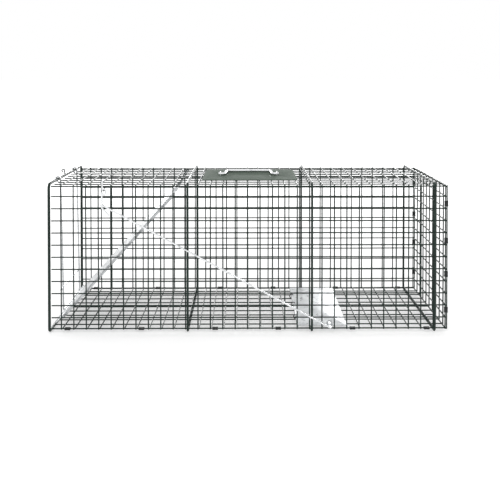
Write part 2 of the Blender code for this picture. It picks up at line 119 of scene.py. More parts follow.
def rounded(corners, radius, closed=False, steps=6):
    """Straight runs between the corners, with every turn an arc. One radius, or one for each corner."""
    corners = [Vector(corner) for corner in corners]
    count = len(corners)
    radii = radius if isinstance(radius, (list, tuple)) else [radius] * count
    path = [] if closed else [corners[0]]
    for i in range(0 if closed else 1, count if closed else count - 1):
        here, before, after = corners[i], corners[i - 1], corners[(i + 1) % count]
        back, ahead = (before - here).normalized(), (after - here).normalized()
        half = back.angle(ahead) / 2
        centre = here + (back + ahead).normalized() * radii[i] / math.sin(half)
        start = here + back * radii[i] / math.tan(half) - centre
        end = here + ahead * radii[i] / math.tan(half) - centre
        for step in range(steps + 1):
            turn = start.normalized().slerp(end.normalized(), step / steps)
            path.append(centre + turn * radii[i])
    return path if closed else path + [corners[-1]]


def arc(centre, radius, start, end, steps, first=AXIS_X, second=AXIS_Z):
    """Points on an arc, from start to end degrees measured from the first axis towards the second."""
    angles = [math.radians(start + (end - start) * i / steps) for i in range(steps + 1)]
    return [Vector(centre) + radius * (math.cos(a) * first + math.sin(a) * second) for a in angles]


def divided(path, longest):
    """The same path with no step longer than the given length."""
    points = [Vector(path[0])]
    for start, end in zip(path, path[1:]):
        parts = max(1, math.ceil((Vector(end) - Vector(start)).length / longest))
        points += [Vector(start).lerp(Vector(end), i / parts) for i in range(1, parts + 1)]
    return points


def wavered(point, amount=WAVER):
    """Moves a point by a smooth small error, the same for every wire that passes there."""
    return point + noise.noise_vector(point / WAVER_LENGTH) * amount


def smoothed(points, steps):
    """A Catmull-Rom curve through the points."""
    ends = [2 * points[0] - points[1], *points, 2 * points[-1] - points[-2]]
    path = []
    for before, start, end, after in zip(ends, ends[1:], ends[2:], ends[3:]):
        for i in range(steps):
            t = i / steps
            square = 2 * before - 5 * start + 4 * end - after
            cube = 3 * (start - end) + after - before
            bend = square * t**2 + cube * t**3
            path.append((2 * start + (end - before) * t + bend) / 2)
    return path + [points[-1].copy()]


def sweep(shape, path, radius, sides=12, closed=False):
    """Adds a round rod along the path. Open ends are cut square and slightly chamfered."""
    path = [Vector(point) for point in path]
    scales = [1.0] * len(path)
    if not closed:
        chamfer = 0.3 * radius
        second = path[0] + (path[1] - path[0]).normalized() * chamfer
        last_but_one = path[-1] + (path[-2] - path[-1]).normalized() * chamfer
        path = [path[0], second] + path[1:-1] + [last_but_one, path[-1]]
        scales = [0.72] + [1.0] * (len(path) - 2) + [0.72]
    count = len(path)
    rings = []
    side = tangent_before = None
    for i, (point, scale) in enumerate(zip(path, scales)):
        before = path[i - 1] if closed or i else path[0]
        after = path[(i + 1) % count] if closed or i < count - 1 else path[-1]
        tangent = (after - before).normalized()
        if side is None:
            side = tangent.orthogonal().normalized()
        else:
            side = tangent_before.rotation_difference(tangent) @ side
            side = (side - tangent * side.dot(tangent)).normalized()
        other = tangent.cross(side)
        angles = [2 * math.pi * k / sides for k in range(sides)]
        rings.append(
            [
                shape.verts.new(point + radius * scale * (math.cos(a) * side + math.sin(a) * other))
                for a in angles
            ]
        )
        tangent_before = tangent
    pairs = list(zip(rings, rings[1:]))
    if closed:
        pairs.append((rings[-1], rings[0]))
    for first, second in pairs:
        for k in range(sides):
            shape.faces.new((first[k], first[(k + 1) % sides], second[(k + 1) % sides], second[k]))
    if not closed:
        shape.faces.new(rings[0][::-1])
        shape.faces.new(rings[-1])


def lathe(shape, profile, centre, axis, sides=28):
    """A turned shape: (distance along the axis, radius) pairs from one end to the other."""
    side = axis.orthogonal().normalized()
    other = axis.cross(side)
    turns = [2 * math.pi * k / sides for k in range(sides)]
    spokes = [math.cos(a) * side + math.sin(a) * other for a in turns]
    rings = []
    for reach, radius in profile:
        rings.append([shape.verts.new(centre + axis * reach + spoke * radius) for spoke in spokes])
    for first, second in zip(rings, rings[1:]):
        for k in range(sides):
            shape.faces.new((first[k], first[(k + 1) % sides], second[(k + 1) % sides], second[k]))
    shape.faces.new(rings[0][::-1])
    shape.faces.new(rings[-1])


def bead(shape, centre, radius, squash, axis):
    """A small flattened blob: the enamel that pools where two wires are welded."""
    angles = [math.radians(a) for a in (-70, -38, 0, 38, 70)]
    profile = [(radius * squash * math.sin(a), radius * math.cos(a)) for a in angles]
    lathe(shape, profile, centre, axis, sides=8)


def soft_edges(width, segments, degrees):
    """A bevel, as with_modifiers takes it, on the edges that turn by more than this angle."""
    limit = {"limit_method": "ANGLE", "angle_limit": math.radians(degrees)}
    return "BEVEL", {"width": width, "segments": segments, **limit}


def make_piece(name, shape, material, body, nodes, crease=38):
    """Turns a finished shape into a smooth-shaded piece that rides on a body and stands for its CAD nodes."""
    mesh = bpy.data.meshes.new(name)
    bmesh.ops.recalc_face_normals(shape, faces=shape.faces)
    shape.to_mesh(mesh)
    shape.free()
    return place_mesh(name, mesh, material, body, nodes, crease)


def place_mesh(name, mesh, material, body, nodes, crease=38):
    mesh.shade_smooth()
    mesh.set_sharp_from_angle(angle=math.radians(crease))
    mesh.materials.clear()
    mesh.materials.append(material)
    made = bpy.data.objects.new(name, mesh)
    bpy.context.scene.collection.objects.link(made)
    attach(made, body)
    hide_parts(*nodes)
    return made


def rod_piece(name, path, radius, material, body, nodes, sides=14, closed=False):
    shape = bmesh.new()
    sweep(shape, path, radius, sides, closed)
    return make_piece(name, shape, material, body, nodes)


def with_modifiers(mesh, *settings):
    """The mesh after the given modifiers, each a (type, values) pair, have been applied."""
    worker = bpy.data.objects.new("worker", mesh)
    bpy.context.scene.collection.objects.link(worker)
    for kind, values in settings:
        modifier = worker.modifiers.new(kind.lower(), kind)
        for key, value in values.items():
            setattr(modifier, key, value)
    graph = bpy.context.evaluated_depsgraph_get()
    made = bpy.data.meshes.new_from_object(worker.evaluated_get(graph))
    bpy.data.objects.remove(worker)
    return made


# ---------------------------------------------------------------- materials


class Recipe:
    """A Principled material whose colour, roughness and bump come from nodes in the object's own space."""

    def __init__(self, name, metallic, **sockets):
        self.material = bpy.data.materials.new(name)
        self.material.use_nodes = True
        self.tree = self.material.node_tree
        self.shader = self.tree.nodes["Principled BSDF"]
        self.shader.inputs["Metallic"].default_value = metallic
        for socket, value in sockets.items():
            self.shader.inputs[socket.replace("_", " ")].default_value = value
        self.place = self.node("ShaderNodeTexCoord").outputs["Object"]

    def node(self, kind, **values):
        made = self.tree.nodes.new(kind)
        for key, value in values.items():
            setattr(made, key, value)
        return made

    def link(self, start, end):
        self.tree.links.new(start, end)

    def stretched(self, scale):
        """The object's space, scaled by a different amount along each axis."""
        mapping = self.node("ShaderNodeMapping")
        mapping.inputs["Scale"].default_value = scale
        self.link(self.place, mapping.inputs["Vector"])
        return mapping.outputs["Vector"]

    def noise(self, scale, detail=3.0, roughness=0.55, place=None):
        made = self.node("ShaderNodeTexNoise")
        made.inputs["Scale"].default_value = scale
        made.inputs["Detail"].default_value = detail
        made.inputs["Roughness"].default_value = roughness
        self.link(place or self.place, made.inputs["Vector"])
        return made.outputs["Fac"]

    def cells(self, scale, place=None):
        """A random value for each cell of a Voronoi pattern."""
        made = self.node("ShaderNodeTexVoronoi")
        made.inputs["Scale"].default_value = scale
        self.link(place or self.place, made.inputs["Vector"])
        split = self.node("ShaderNodeSeparateColor")
        self.link(made.outputs["Color"], split.inputs["Color"])
        return split.outputs[0]

    def ramp(self, value, start, end, low_value=0.0, high_value=1.0):
        """Maps the part of the value between start and end to low_value..high_value."""
        made = self.node("ShaderNodeMapRange")
        numbers = {"From Min": start, "From Max": end, "To Min": low_value, "To Max": high_value}
        for socket, number in numbers.items():
            made.inputs[socket].default_value = number
        self.link(value, made.inputs["Value"])
        return made.outputs["Result"]

    def maths(self, operation, first, second):
        made = self.node("ShaderNodeMath", operation=operation)
        for socket, value in zip(made.inputs, (first, second)):
            if isinstance(value, float):
                socket.default_value = value
            else:
                self.link(value, socket)
        return made.outputs[0]

    def blend(self, factor, first, second):
        """A colour between first and second, each a colour or an earlier result."""
        made = self.node("ShaderNodeMix", data_type="RGBA")
        self.link(factor, made.inputs["Factor"])
        for socket, colour in ((made.inputs[6], first), (made.inputs[7], second)):
            if isinstance(colour, tuple):
                socket.default_value = (*colour, 1.0)
            else:
                self.link(colour, socket)
        return made.outputs[2]

    def finish(self, colour, roughness, height, distance, strength=1.0):
        self.link(colour, self.shader.inputs["Base Color"])
        self.link(roughness, self.shader.inputs["Roughness"])
        bump = self.node("ShaderNodeBump")
        bump.inputs["Distance"].default_value = distance
        bump.inputs["Strength"].default_value = strength
        self.link(height, bump.inputs["Height"])
        self.link(bump.outputs["Normal"], self.shader.inputs["Normal"])
        return self.material


def shaded(colour, shade):
    return tuple(shade * part for part in colour)


def green_enamel():
    """Baked dark green enamel on wire, with slight orange peel and lighter rubbed spots."""
    recipe = Recipe("green_enamel", 0.0, Coat_Weight=0.06, Coat_Roughness=0.2, Specular_IOR_Level=0.25)
    patches = recipe.ramp(recipe.noise(38.0), 0.35, 0.65)
    peel = recipe.noise(850.0, detail=2.0)
    runs = recipe.noise(210.0, detail=4.0)
    colour = recipe.blend(patches, (0.0055, 0.0150, 0.0112), (0.011, 0.026, 0.0200))
    rubbed = recipe.ramp(runs, 0.66, 0.74, 0.0, 0.5)
    colour = recipe.blend(rubbed, colour, (0.045, 0.066, 0.055))
    roughness = recipe.ramp(runs, 0.3, 0.7, 0.24, 0.42)
    return recipe.finish(colour, roughness, recipe.maths("ADD", peel, runs), 0.00012)


def grey_green_powder():
    """Matt powder coat on the guard plate, with a fine pebble and darker handling marks."""
    recipe = Recipe("grey_green_powder", 0.0, Specular_IOR_Level=0.15)
    pebble = recipe.noise(1500.0, detail=2.0)
    grime = recipe.ramp(recipe.noise(46.0, detail=5.0), 0.42, 0.72)
    speckle = recipe.ramp(recipe.noise(2600.0, detail=1.0), 0.40, 0.64)
    colour = recipe.blend(speckle, (0.066, 0.092, 0.070), (0.090, 0.120, 0.094))
    colour = recipe.blend(recipe.maths("MULTIPLY", grime, 0.45), colour, (0.050, 0.068, 0.053))
    roughness = recipe.ramp(pebble, 0.3, 0.7, 0.52, 0.68)
    return recipe.finish(colour, roughness, pebble, 0.00022)


def galvanised_sheet(name="galvanised_sheet", metallic=0.82, shade=1.0):
    """Hot-dip zinc on sheet: faceted spangle in slightly different greys, with faint rolling lines."""
    recipe = Recipe(name, metallic, Specular_IOR_Level=0.5)
    spangle = recipe.cells(115.0)
    fine = recipe.cells(310.0)
    lines = recipe.noise(26.0, detail=4.0, place=recipe.stretched((30.0, 1.0, 30.0)))
    tone = recipe.maths("ADD", recipe.maths("MULTIPLY", spangle, 0.65), recipe.maths("MULTIPLY", fine, 0.35))
    colour = recipe.blend(tone, shaded((0.42, 0.435, 0.445), shade), shaded((0.62, 0.635, 0.645), shade))
    dull = recipe.ramp(recipe.noise(19.0, detail=5.0), 0.55, 0.75, 0.0, 0.4)
    colour = recipe.blend(dull, colour, shaded((0.34, 0.355, 0.365), shade))
    roughness = recipe.ramp(recipe.maths("ADD", tone, dull), 0.1, 1.2, 0.26, 0.50)
    height = recipe.maths("ADD", recipe.maths("MULTIPLY", spangle, 0.25), lines)
    return recipe.finish(colour, roughness, height, 0.00006)


def drawn_zinc_wire(name="drawn_zinc_wire", shade=1.0):
    """Bright zinc on drawn wire: fine die marks, small dull patches."""
    recipe = Recipe(name, 0.92, Specular_IOR_Level=0.5)
    marks = recipe.noise(900.0, detail=3.0)
    patches = recipe.ramp(recipe.noise(70.0, detail=4.0), 0.48, 0.70)
    dulling = recipe.maths("MULTIPLY", patches, 0.7)
    colour = recipe.blend(dulling, shaded((0.70, 0.71, 0.72), shade), shaded((0.46, 0.475, 0.485), shade))
    roughness = recipe.ramp(recipe.maths("ADD", marks, patches), 0.4, 1.5, 0.17, 0.42)
    return recipe.finish(colour, roughness, marks, 0.00005)


def blackened_steel():
    """Clips and hog rings: black-oxided steel, rubbed to dark metal here and there."""
    recipe = Recipe("blackened_steel", 0.35, Specular_IOR_Level=0.5)
    scale = recipe.noise(700.0, detail=3.0)
    rubbed = recipe.ramp(recipe.noise(240.0, detail=4.0), 0.58, 0.72)
    colour = recipe.blend(rubbed, (0.010, 0.012, 0.012), (0.085, 0.088, 0.088))
    roughness = recipe.ramp(rubbed, 0.0, 1.0, 0.46, 0.28)
    return recipe.finish(colour, roughness, scale, 0.0001)


# ---------------------------------------------------------------- the welded mesh


def column_places(first, last):
    """Stations of the uprights, one cell apart, from the first up to the last."""
    count = int(round((last - first) / CELL)) + 1
    return [first + CELL * i for i in range(count)]


ROW_PLACES = [FLOOR_Z] + [FLOOR_Z + FIRST_ROW + ROW_PITCH * i for i in range(ROWS)]


def make_wrap(enamel):
    """One welded sheet bent over the top: inverted-U cross wires, with level wires along their inner side."""
    shape = bmesh.new()
    front, rear = high("front_hoop").x, high("far_side_mesh").x
    columns = column_places(FRONT_X + FIRST_COLUMN, rear - WIRE)
    columns[-1] = rear - WIRE
    foot = FLOOR_Z - WIRE
    for x in columns:
        near = [(x, -CROSS_Y, foot), (x, -CROSS_Y, TOP_CROSS_Z)]
        far = [(x, CROSS_Y, TOP_CROSS_Z), (x, CROSS_Y, foot)]
        path = divided(rounded(near + far, SHEET_BEND), STEP)
        sweep(shape, [wavered(point) for point in path], WIRE, sides=8)
    corner = SHEET_BEND - LAYER
    diagonal = corner * math.sin(math.radians(45))
    corner_y, corner_z = CROSS_Y - SHEET_BEND + diagonal, TOP_CROSS_Z - SHEET_BEND + diagonal
    lines = [(side * SIDE_LEVEL_Y, z) for z in ROW_PLACES for side in (-1, 1)]
    lines += [(side * corner_y, corner_z) for side in (-1, 1)]
    lines += [(CELL * i, TOP_LEVEL_Z) for i in range(-4, 5)]
    for y, z in lines:
        path = divided([(front, y, z), (rear, y, z)], STEP)
        sweep(shape, [wavered(point) for point in path], WIRE, sides=8)
        outward = AXIS_Z if abs(y) < corner_y - WIRE else AXIS_Y * math.copysign(1.0, y)
        if z == corner_z:
            outward = (AXIS_Z + AXIS_Y * math.copysign(1.0, y)).normalized()
        for x in columns:
            centre = wavered(Vector((x, y, z))) + outward * LAYER / 2
            bead(shape, centre, WIRE * 1.35, 0.75, outward)
    panels = ("near_side_mesh", "far_side_mesh", "top_mesh")
    make_piece("cage_wrap_mesh", shape, enamel, "cage", panels)


def make_floor_panel(enamel):
    """The floor: cross wires above the lengthwise ones, pressed flush so that the pan lies flat."""
    shape = bmesh.new()
    cross_z = low("trigger_pan").z - 0.0001 - WIRE  # just under the pan
    long_z = cross_z - 0.0009  # pressed flush at each crossing
    front, rear = high("front_hoop").x, high("floor_mesh").x
    edge = high("floor_mesh").y - WIRE
    hinge_x = joint_point("pan_tilt").x
    columns = [hinge_x + CELL * i for i in range(-19, 12)]
    columns.append(rear - WIRE)
    across = [-edge] + [CELL * i for i in range(-4, 5)] + [edge]
    for x in columns:
        path = divided([(x, -edge - 0.003, cross_z), (x, edge + 0.003, cross_z)], STEP)
        sweep(shape, path, WIRE, sides=8)
    for y in across:
        path = divided([(front, y, long_z), (rear, y, long_z)], STEP)
        sweep(shape, path, WIRE, sides=8)
        for x in columns:
            bead(shape, Vector((x, y, (cross_z + long_z) / 2)), WIRE * 1.3, 0.8, AXIS_Z)
    make_piece("cage_floor_mesh", shape, enamel, "cage", ("floor_mesh",))


def make_rear_panel(enamel):
    """The closed end: uprights outside, level wires inside, tied to the sides by clips."""
    shape = bmesh.new()
    upright_x = REAR_X + 0.0004
    level_x = upright_x - LAYER
    edge = high("rear_mesh").y - WIRE
    across = [-edge] + [CELL * i for i in range(-4, 5)] + [edge]
    rows = ROW_PLACES + [TOP_LEVEL_Z - 0.001]
    for y in across:
        path = divided([(upright_x, y, FLOOR_Z - WIRE), (upright_x, y, TOP_CROSS_Z)], STEP)
        sweep(shape, [wavered(point) for point in path], WIRE, sides=8)
    for z in rows:
        path = divided([(level_x, -edge - 0.001, z), (level_x, edge + 0.001, z)], STEP)
        sweep(shape, [wavered(point) for point in path], WIRE, sides=8)
        for y in across:
            bead(shape, wavered(Vector((level_x + LAYER / 2, y, z))), WIRE * 1.35, 0.75, AXIS_X)
    make_piece("cage_rear_mesh", shape, enamel, "cage", ("rear_mesh",))


def make_hoops(enamel):
    """Bent rod hoops, closed by a flash-butt weld under the floor, with a seam bead."""
    for node in ("front_hoop", "middle_hoop_front", "middle_hoop_rear", "rear_hoop"):
        lowest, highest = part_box(node)
        radius = (highest.x - lowest.x) / 2
        x = (lowest.x + highest.x) / 2
        side, top, bottom = highest.y - radius, highest.z - radius, radius
        corners = [(x, side, bottom), (x, side, top), (x, -side, top), (x, -side, bottom)]
        path = rounded(corners, HOOP_BENDS, closed=True, steps=8)
        shape = bmesh.new()
        sweep(shape, path, radius, sides=18, closed=True)
        bead(shape, Vector((x, HOOP_WELD_Y, bottom + radius * 0.14)), radius * 1.12, 0.8, AXIS_Y)
        make_piece(f"{node}_rod", shape, enamel, "cage", (node,))


# ---------------------------------------------------------------- clips, rings, catch and pins

def hog_ring(name, node, opening, steel):
    """A C-shaped ring crimped shut round a floor wire and the pan, its pointed ends passing each other."""
    lowest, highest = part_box(node)
    centre = (lowest + highest) / 2
    wire_radius = (highest.y - lowest.y) / 2
    radius = (highest.x - lowest.x) / 2 - wire_radius
    opening = Vector(opening)
    other = AXIS_Y.cross(opening)
    points = []
    steps = 26
    for i in range(steps + 1):
        share = i / steps
        angle = math.radians(12 + 372 * share)
        drift = wire_radius * 1.15 * (share - 0.5)
        spoke = math.cos(angle) * opening + math.sin(angle) * other
        points.append(centre + radius * spoke + AXIS_Y * drift)
    shape = bmesh.new()
    sweep(shape, points, wire_radius * 0.98, sides=10)
    make_piece(name, shape, steel, "pan", (node,))


def crimped_clip(name, node, along, wide, seam, steel):
    """A strip of sheet wrapped round two wires: its lips meet in a seam, and its middle is pinched."""
    lowest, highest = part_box(node)
    centre = (lowest + highest) / 2
    along, wide, seam = Vector(along), Vector(wide), Vector(seam)
    size = highest - lowest
    half_length = abs(size.dot(along)) / 2
    half_wide, half_deep = abs(size.dot(wide)) / 2, abs(size.dot(seam)) / 2
    slit = CLIP_GAUGE / 2  # half the width of the seam
    corners = [(slit, half_deep, 0), (half_wide, half_deep, 0), (half_wide, -half_deep, 0)]
    corners += [(-x, y, 0) for x, y, _ in reversed(corners)]
    section = rounded(corners, half_deep * 0.62, steps=5)
    # The two lips curl in to the wires at the seam.
    tip, curl = half_deep - CLIP_GAUGE * 0.9, half_deep - CLIP_GAUGE * 0.12
    lip = [Vector((slit, tip, 0)), Vector((0.0007, curl, 0))]
    section = lip + section[1:-1] + [Vector((-at.x, at.y, 0)) for at in reversed(lip)]
    steps = 10
    shape = bmesh.new()
    strips = []
    for i in range(steps + 1):
        reach = half_length * (2 * i / steps - 1)
        pinch = 1.0 - 0.07 * math.exp(-((reach / (half_length * 0.38)) ** 2))
        strips.append(
            [shape.verts.new(centre + along * reach + (wide * at.x + seam * at.y) * pinch) for at in section]
        )
    for first, second in zip(strips, strips[1:]):
        for k in range(len(section) - 1):
            shape.faces.new((first[k], first[k + 1], second[k + 1], second[k]))
    bmesh.ops.recalc_face_normals(shape, faces=shape.faces)
    if sum((face.calc_center_median() - centre).dot(face.normal) for face in shape.faces) < 0:
        bmesh.ops.reverse_faces(shape, faces=shape.faces)
    mesh = bpy.data.meshes.new(name)
    shape.to_mesh(mesh)
    shape.free()
    wall = {"thickness": CLIP_GAUGE, "offset": -1.0, "use_even_offset": True}
    mesh = with_modifiers(mesh, ("SOLIDIFY", wall), soft_edges(CLIP_GAUGE * 0.2, 2, 60))
    place_mesh(name, mesh, steel, "cage", (node,))


def make_ties(steel):
    """The crimped clips of the cage, and the hog rings that hold the pan to its hinge wire."""
    for side, sign in (("near", -1), ("far", 1)):
        for i in range(1, 7):
            crimped_clip(f"floor_tie_{side}_{i}", f"floor_clip_{side}_{i}", AXIS_X, AXIS_Y, AXIS_Z, steel)
        for i in range(1, 5):
            inward = (0, -sign, 0)
            crimped_clip(f"rear_tie_{side}_{i}", f"rear_clip_{side}_{i}", AXIS_Z, AXIS_X, inward, steel)
    crimped_clip("top_tie", "top_clip", AXIS_Y, AXIS_X, -AXIS_Z, steel)
    for i in range(1, 4):
        hog_ring(f"pan_tie_{i}", f"pan_ring_{i}", (0, 0, -1), steel)


def make_front_catch(enamel):
    """The wire catch on the front hoop, curled over at its end."""
    lowest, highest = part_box("front_catch_hook")
    stem = Vector((FRONT_X, (lowest.y + highest.y) / 2, lowest.z + CATCH_RADIUS))
    turn = 0.003
    curl = Vector((FRONT_X - turn, stem.y, highest.z - turn - CATCH_RADIUS))
    shape = bmesh.new()
    sweep(shape, [stem] + arc(curl, turn, 0, 250, 16), CATCH_RADIUS, sides=12)
    bead(shape, stem, CATCH_RADIUS * 1.7, 0.7, AXIS_Z)
    make_piece("front_catch_wire", shape, enamel, "cage", ("front_catch_hook",))


def make_hinge_rod(zinc, steel_cap):
    """The door's hinge rod, with a domed push-on cap over each end."""
    lowest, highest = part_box("door_hinge_rod")
    centre = (lowest + highest) / 2
    radius = (highest.z - lowest.z) / 2
    shape = bmesh.new()
    ends = [(centre.x, lowest.y, centre.z), (centre.x, highest.y, centre.z)]
    sweep(shape, divided(ends, 0.03), radius, sides=20)
    make_piece("door_hinge_pin", shape, zinc, "cage", ("door_hinge_rod",))
    for side, sign in (("near", -1), ("far", 1)):
        node = f"hinge_rod_cap_{side}"
        lowest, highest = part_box(node)
        rim = (highest.x - lowest.x) / 2
        depth = highest.y - lowest.y
        inner = Vector((centre.x, min(abs(lowest.y), abs(highest.y)) * sign, centre.z))
        profile = [(0.0, rim * 0.9), (0.0, rim), (depth * 0.3, rim), (depth * 0.45, rim * 0.93)]
        profile += [(depth * 0.55, rim * 0.62), (depth * 0.9, rim * 0.5), (depth, rim * 0.36)]
        shape = bmesh.new()
        lathe(shape, profile, inner, AXIS_Y * sign)
        make_piece(f"hinge_pin_cap_{side}", shape, steel_cap, "cage", (node,), crease=50)


# ---------------------------------------------------------------- door, bail and linkage


def make_door(zinc):
    """Galvanised sheet, folded at its sides and foot, with two knuckles rolled round the hinge rod."""
    hinge = joint_point("door_hinge")
    lowest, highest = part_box("door_panel")
    half_width = highest.y - DOOR_GAUGE / 2
    roll = middle("door_hinge_rod").z - low("door_hinge_rod").z + PLAY + DOOR_GAUGE / 2
    foot = Vector((lowest.x + DOOR_LIP, 0, lowest.z + DOOR_GAUGE / 2))
    reach = (foot - hinge).length
    slope = math.asin(roll / reach)
    straight = (foot - hinge).normalized()
    square = Vector((-straight.z, 0, straight.x))
    down = straight * math.cos(slope) - square * math.sin(slope)
    inward = square * math.cos(slope) + straight * math.sin(slope)
    knuckle = (0.070, 0.100)  # inner and outer side of each knuckle, from the middle
    bend = 0.0020
    head, tail = 0.012, reach - 0.015  # where the side flanges start and end
    stations = [0.0, head] + [head + (tail - head) * i / 14 for i in range(1, 15)] + [reach]
    inner_rows = [-knuckle[1], -knuckle[0], -0.035, 0.0, 0.035, knuckle[0], knuckle[1]]
    rows = [-half_width + bend] + inner_rows + [half_width - bend]
    sheet = bmesh.new()
    grid = [[sheet.verts.new((u, v, 0.0)) for v in rows] for u in stations]
    for near, far in zip(grid, grid[1:]):
        for k in range(len(rows) - 1):
            sheet.faces.new((near[k], near[k + 1], far[k + 1], far[k]))
    for vert in sheet.verts:
        u, v = vert.co.x, vert.co.y
        calm = min(1.0, u / 0.05, (reach - u) / 0.04)
        bow = 0.0006 * noise.noise(Vector((u * 9, v * 9, 4.0))) * max(calm, 0.0)
        vert.co = down * u + inward * (roll + bow) + AXIS_Y * v

    def distance(vert):
        return vert.co.dot(down)

    def fold(edges, path):
        """Carries the edges along the path, one strip of sheet at a time."""
        for step in path:
            grown = bmesh.ops.extrude_edge_only(sheet, edges=edges)["geom"]
            edges = [part for part in grown if isinstance(part, bmesh.types.BMEdge)]
            for vert in {vert for edge in edges for vert in edge.verts}:
                vert.co = step(vert.co)

    def edges_where(test):
        return [edge for edge in sheet.edges if all(test(vert) for vert in edge.verts)]

    close = 0.0004  # margin of the tests that pick edges
    outer = half_width - bend - close
    lip_edges = edges_where(lambda vert: distance(vert) > reach - close)
    knuckle_edges = edges_where(
        lambda vert: distance(vert) < close and knuckle[0] - close < abs(vert.co.y) < knuckle[1] + close
    )
    knuckle_edges = [edge for edge in knuckle_edges if edge.verts[0].co.y * edge.verts[1].co.y > 0]
    margin_edges = edges_where(lambda vert: abs(vert.co.y) > outer)
    ends = [edge for edge in margin_edges if all(distance(vert) < head + close for vert in edge.verts)]
    ends += [edge for edge in margin_edges if all(distance(vert) > tail - close for vert in edge.verts)]
    flange_edges = [edge for edge in margin_edges if edge not in ends]
    fold(ends, [lambda at: at + AXIS_Y * math.copysign(bend, at.y)])
    quarter = [math.radians(18 * i) for i in range(6)]
    rises = [(math.sin(b) - math.sin(a), math.cos(a) - math.cos(b)) for a, b in zip(quarter, quarter[1:])]
    turned = [
        lambda at, s=s, c=c: at + AXIS_Y * math.copysign(bend * s, at.y) + inward * bend * c for s, c in rises
    ]
    fold(flange_edges, turned + [lambda at: at + inward * (DOOR_FLANGE - bend)])
    toe = Vector((-1, 0, 0))
    turn = down.angle(toe)
    axis = down.cross(toe).normalized()
    steps = 5
    small = bend * math.tan(turn / 2)
    stride = 2 * small / steps
    lip_turns = [Quaternion(axis, turn * (i + 0.5) / steps) @ down * stride for i in range(steps)]
    lip_rise = toe * 0.0016 + AXIS_Z * 0.0010
    fold(lip_edges, [lambda at, move=move: at + move for move in [*lip_turns, lip_rise, lip_rise * 0.4]])
    rolls = [math.radians(15 * i) for i in range(1, 19)]
    fold(
        knuckle_edges,
        [lambda at, a=a: (inward * math.cos(a) - down * math.sin(a)) * roll + AXIS_Y * at.y for a in rolls],
    )
    for vert in sheet.verts:
        vert.co += hinge
    bmesh.ops.recalc_face_normals(sheet, faces=sheet.faces)
    mesh = bpy.data.meshes.new("door_sheet")
    sheet.to_mesh(mesh)
    sheet.free()
    gauge = {"thickness": DOOR_GAUGE, "offset": 0.0, "use_even_offset": True}
    mesh = with_modifiers(mesh, ("SOLIDIFY", gauge), soft_edges(0.00025, 2, 60))
    place_mesh("door_sheet", mesh, zinc, "door", ("door_panel",))


def make_bail(zinc):
    """The wire bail that hangs from the front hoop, and the cross wire welded to it."""
    pivot = joint_point("bail_swing")
    lowest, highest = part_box("lock_bail")
    radius = BAIL_RADIUS
    half = highest.y - radius
    hoop_radius = (high("front_hoop").x - low("front_hoop").x) / 2
    eye = hoop_radius + PLAY + radius
    foot = Vector((highest.x - radius, 0, lowest.z + radius))
    near_eye = arc((pivot.x, -half, pivot.z), eye, 280, 0, 20)
    far_eye = [Vector((at.x, -at.y, at.z)) for at in reversed(near_eye)]
    corners = [near_eye[-1], (foot.x, -half, foot.z), (foot.x, half, foot.z), far_eye[0]]
    path = near_eye[:-1] + divided(rounded(corners, 0.010, steps=10), 0.06) + far_eye[1:]
    rod_piece("lock_bail_wire", path, radius, zinc, "bail", ("lock_bail",), sides=16)
    lowest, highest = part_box("lock_bail_cross_wire")
    centre = (lowest + highest) / 2
    radius = (highest.z - lowest.z) / 2
    ends = [(centre.x, lowest.y, centre.z), (centre.x, highest.y, centre.z)]
    shape = bmesh.new()
    sweep(shape, divided(ends, 0.03), radius, sides=14)
    for sign in (-1, 1):
        bead(shape, Vector((centre.x + radius * 0.8, sign * half, centre.z)), radius * 1.25, 0.8, AXIS_X)
    make_piece("lock_bail_tie_wire", shape, zinc, "bail", ("lock_bail_cross_wire",))


def make_lever(zinc, enamel):
    """The hook lever: a thumb end over the top edge, one coil round its pin, and a bent toe."""
    pivot = joint_point("lever_pivot")
    lowest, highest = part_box("hook_lever")
    radius = LINK_RADIUS
    outer_y, inner_y = pivot.y, pivot.y + 0.0036  # the loop's two ends lie side by side
    pin_radius = LEVER_PIN_RADIUS
    # The loop is a drop that hangs from the pin: it goes round the pin, down, and back under itself.
    eye = pin_radius + PLAY + radius
    drop = [(-eye, 0.0), (-eye * 0.80, eye * 0.62), (0.0, eye), (eye * 0.82, eye * 0.60)]
    drop += [(eye * 1.18, -eye * 0.35), (eye * 1.12, -eye * 1.5), (eye * 0.35, -eye * 2.35)]
    drop += [(-eye * 0.55, -eye * 2.1), (-eye, -eye * 1.1)]
    drop = smoothed([Vector((pivot.x + x, 0, pivot.z + z)) for x, z in drop], 4)
    for i, point in enumerate(drop):
        point.y = inner_y + (outer_y - inner_y) * i / (len(drop) - 1)
    shank_x = pivot.x - eye
    thumb_z = highest.z - radius
    over_top = [(shank_x, highest.y, thumb_z), (shank_x, inner_y, thumb_z), drop[0]]
    thumb = rounded(over_top, LINK_BEND, steps=8)
    toe = Vector((highest.x - radius * 0.7, outer_y, lowest.z + radius * 0.8))
    knee = Vector((shank_x, outer_y, toe.z + 0.6 * INCH))
    shank = rounded([drop[-1], knee, toe], LINK_BEND, steps=8)
    path = thumb[:-1] + drop + shank[1:]
    rod_piece("hook_lever_wire", path, radius, zinc, "lever", ("hook_lever",), sides=14)
    lowest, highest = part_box("lever_pivot_wire")
    inside_y = highest.y - pin_radius
    corners = [(pivot.x, lowest.y, pivot.z), (pivot.x, inside_y, pivot.z), (pivot.x, inside_y, highest.z)]
    path = rounded(corners, pin_radius * 1.5, steps=8)
    rod_piece("lever_pin_wire", path, pin_radius, enamel, "cage", ("lever_pivot_wire",), sides=12)


